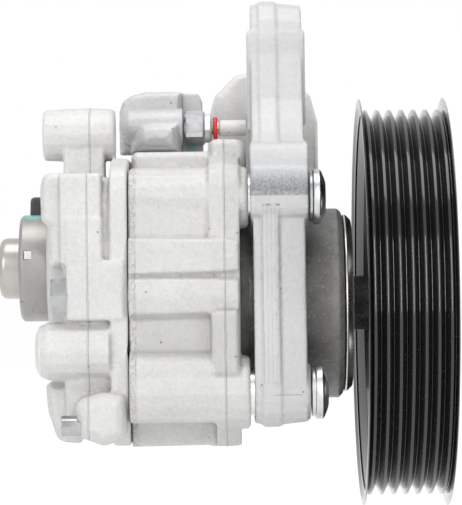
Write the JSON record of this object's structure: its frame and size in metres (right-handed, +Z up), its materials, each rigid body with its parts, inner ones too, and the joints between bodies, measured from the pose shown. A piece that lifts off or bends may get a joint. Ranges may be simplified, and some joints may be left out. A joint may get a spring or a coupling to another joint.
{
  "type": "power steering pump",
  "caption": "Belt-driven vane pump for power steering, with a cast aluminium housing and mounting bracket, a ribbed black pulley, a rear solenoid and pipe fittings on top.",
  "frame": {"origin": "centre of the flat front end of the drive shaft", "axes": "+X along the shaft, out of the pulley end; +Z up as pictured; +Y away from the viewer, to the engine side"},
  "size_m": [0.1317, 0.121, 0.1498],
  "materials": {
    "cast_aluminium": "light grey as-cast surface",
    "machined_aluminium": "fine machined surface",
    "bright_steel": "ground and bright",
    "dark_steel": "hardened, dark",
    "zinc_plate": "bright zinc plating",
    "black_paint": "gloss black coating",
    "black_plastic": "moulded, matt",
    "can_steel": "satin warm grey plating",
    "red_rubber": "smooth",
    "black_rubber": "smooth",
    "bronze": "plain",
    "copper_wire": "enamelled winding"
  },
  "bodies": {
    "pump_body": {"bearing_outer_ring": "bright_steel", "bearing_retainer_ring": "bright_steel", "bearing_circlip": "dark_steel", "shaft_seal": "black_rubber", "cam_ring": "dark_steel", "side_plate": "machined_aluminium", "pressure_plate": "machined_aluminium", "pressure_plate_seal": "black_rubber", "dowel_pin_1": "bright_steel", "dowel_pin_2": "bright_steel", "rear_bush": "bronze", "front_housing": "cast_aluminium", "rear_cover": "cast_aluminium", "mounting_bracket": "cast_aluminium", "flow_spring": "bright_steel", "channel_plug": "zinc_plate", "solenoid_can": "can_steel", "solenoid_coil": "copper_wire", "solenoid_core_tube": "can_steel", "solenoid_spring": "bright_steel", "solenoid_connector": "black_plastic", "inlet_elbow": "zinc_plate", "pressure_union": "zinc_plate", "union_seal_ring": "red_rubber", "return_pipe_stub": "cast_aluminium", "cover_bolt_1": "zinc_plate", "cover_bolt_2": "zinc_plate", "cover_bolt_3": "zinc_plate", "cover_bolt_4": "zinc_plate", "bracket_bolt_1": "zinc_plate", "locating_sleeve_1": "bright_steel", "bracket_bolt_2": "zinc_plate", "locating_sleeve_2": "bright_steel", "bracket_bolt_3": "zinc_plate", "locating_sleeve_3": "bright_steel"},
    "rotating_set": {"drive_shaft": "dark_steel", "pulley": "black_paint", "pulley_hub": "black_paint", "bearing_inner_ring": "bright_steel", "rotor": "dark_steel", "shaft_snap_ring": "dark_steel"},
    "ball_cage": {"bearing_cage_with_balls": "bright_steel"},
    "vane_body_1": {"vane_1": "bright_steel"},
    "vane_body_2": {"vane_2": "bright_steel"},
    "vane_body_3": {"vane_3": "bright_steel"},
    "vane_body_4": {"vane_4": "bright_steel"},
    "vane_body_5": {"vane_5": "bright_steel"},
    "vane_body_6": {"vane_6": "bright_steel"},
    "vane_body_7": {"vane_7": "bright_steel"},
    "vane_body_8": {"vane_8": "bright_steel"},
    "vane_body_9": {"vane_9": "bright_steel"},
    "vane_body_10": {"vane_10": "bright_steel"},
    "spool_body": {"flow_spool": "bright_steel"},
    "armature_body": {"solenoid_armature": "dark_steel"}
  },
  "joints": [
    {"name": "pulley_spin", "type": "hinge", "parent": "pump_body", "child": "rotating_set", "pos_m": [0, 0, 0], "axis": [1, 0, 0], "continuous": true},
    {"name": "ball_cage_spin", "type": "hinge", "parent": "pump_body", "child": "ball_cage", "pos_m": [0, 0, 0], "axis": [1, 0, 0], "continuous": true},
    {"name": "vane_1_slide", "type": "slide", "parent": "rotating_set", "child": "vane_body_1", "axis": [0, 0.9511, 0.309], "range_m": [0, 0.000267]},
    {"name": "vane_2_slide", "type": "slide", "parent": "rotating_set", "child": "vane_body_2", "axis": [0, 0.5878, 0.809], "range_m": [0, 0.00183]},
    {"name": "vane_3_slide", "type": "slide", "parent": "rotating_set", "child": "vane_body_3", "axis": [0, 0, 1], "range_m": [0, 0.0028]},
    {"name": "vane_4_slide", "type": "slide", "parent": "rotating_set", "child": "vane_body_4", "axis": [0, -0.5878, 0.809], "range_m": [0, 0.00183]},
    {"name": "vane_5_slide", "type": "slide", "parent": "rotating_set", "child": "vane_body_5", "axis": [0, -0.9511, 0.309], "range_m": [0, 0.000267]},
    {"name": "vane_6_slide", "type": "slide", "parent": "rotating_set", "child": "vane_body_6", "axis": [0, -0.9511, -0.309], "range_m": [0, 0.000267]},
    {"name": "vane_7_slide", "type": "slide", "parent": "rotating_set", "child": "vane_body_7", "axis": [0, -0.5878, -0.809], "range_m": [0, 0.00183]},
    {"name": "vane_8_slide", "type": "slide", "parent": "rotating_set", "child": "vane_body_8", "axis": [0, 0, -1], "range_m": [0, 0.0028]},
    {"name": "vane_9_slide", "type": "slide", "parent": "rotating_set", "child": "vane_body_9", "axis": [0, 0.5878, -0.809], "range_m": [0, 0.00183]},
    {"name": "vane_10_slide", "type": "slide", "parent": "rotating_set", "child": "vane_body_10", "axis": [0, 0.9511, -0.309], "range_m": [0, 0.000267]},
    {"name": "flow_spool_slide", "type": "slide", "parent": "pump_body", "child": "spool_body", "axis": [1, 0, 0], "range_m": [0, 0.003], "stiffness_N_per_m": 1500, "springref_m": -0.002, "deforming": ["flow_spring"]},
    {"name": "armature_slide", "type": "slide", "parent": "pump_body", "child": "armature_body", "axis": [1, 0, 0], "range_m": [-0.0025, 0], "stiffness_N_per_m": 400, "springref_m": 0.002, "deforming": ["solenoid_spring"]}
  ],
  "couplings": [
    {"joint": "ball_cage_spin", "follows": "pulley_spin", "ratio": 0.391}
  ]
}
